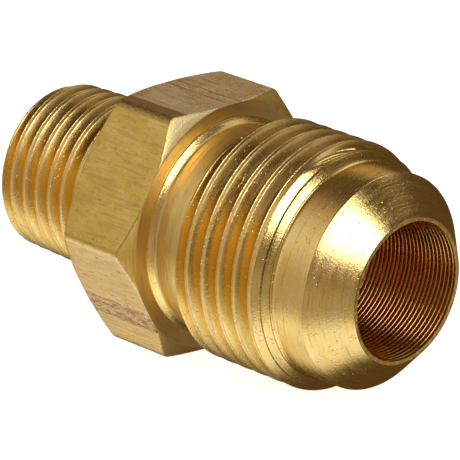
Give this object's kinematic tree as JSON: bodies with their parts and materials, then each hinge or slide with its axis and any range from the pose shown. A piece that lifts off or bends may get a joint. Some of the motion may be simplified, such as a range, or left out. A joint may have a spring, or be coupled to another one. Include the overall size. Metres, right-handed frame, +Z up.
{
  "type": "flare fitting",
  "caption": "Hexagon-bodied brass tube adapter: 45 degree male flare with straight thread at one end, tapered male pipe thread at the other, bored right through.",
  "frame": {"origin": "on the bore's axis, midway between the pipe end face and the rim of the flare", "axes": "+X along the bore towards the flare end, +Z up, with one flat of the hexagon facing up and one down"},
  "size_m": [0.0364, 0.0218, 0.019],
  "materials": {
    "brass": "machined, semi-bright"
  },
  "bodies": {
    "root": {"fitting_body": "brass"}
  },
  "joints": []
}
